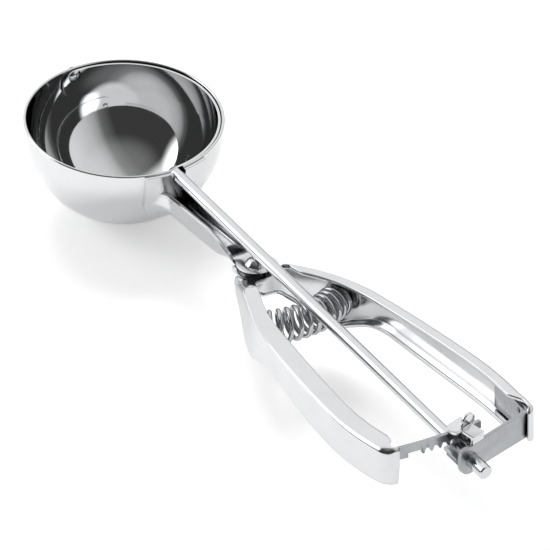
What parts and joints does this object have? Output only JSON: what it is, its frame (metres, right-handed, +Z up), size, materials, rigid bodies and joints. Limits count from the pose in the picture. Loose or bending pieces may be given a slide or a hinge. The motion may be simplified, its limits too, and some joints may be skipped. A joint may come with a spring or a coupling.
{
  "type": "lever ice cream scoop",
  "caption": "Squeeze-handle ice cream scoop: round bowl with a sweeping blade, driven by rod, pinion and rack from two sprung channel handles.",
  "frame": {"origin": "centre of the bowl's rim plane", "axes": "+X along the drive rod from the bowl to the handles' ends, +Z up out of the bowl's mouth, +Y to the fixed handle's side"},
  "size_m": [0.2234, 0.06, 0.0416],
  "materials": {
    "polished_steel": "mirror-polished stainless steel",
    "satin_steel": "tumbled stamped stainless steel",
    "weld_metal": "heat-tinted spot weld",
    "spring_wire": "bright drawn spring wire"
  },
  "bodies": {
    "frame": {"bowl": "polished_steel", "saddle": "satin_steel", "neck": "satin_steel", "fixed_handle": "polished_steel", "end_plate": "satin_steel", "rack_guide": "satin_steel", "weld_dots": "weld_metal", "pivot_rivet": "polished_steel", "pivot_washer": "satin_steel", "fixed_seat": "satin_steel", "spring": "spring_wire"},
    "lever": {"lever_handle": "polished_steel", "rack": "satin_steel", "lever_seat": "satin_steel"},
    "wiper": {"drive_rod": "polished_steel", "pinion": "satin_steel", "journal": "polished_steel", "blade": "polished_steel", "near_rivet": "polished_steel", "far_pin": "polished_steel"}
  },
  "joints": [
    {"name": "squeeze", "type": "hinge", "parent": "frame", "child": "lever", "pos_m": [0.073, 0, -0.0067], "axis": [-0.0872, 0, 0.9962], "range_deg": [0, 5.38], "stiffness_Nm_per_rad": 4, "springref_deg": -6.88, "deforming": ["spring"]},
    {"name": "wiper_turn", "type": "hinge", "parent": "frame", "child": "wiper", "pos_m": [0, 0, -0.0023], "axis": [1, 0, 0], "range_deg": [-168, 0]}
  ],
  "couplings": [
    {"joint": "wiper_turn", "follows": "squeeze", "ratio": -31.206}
  ]
}
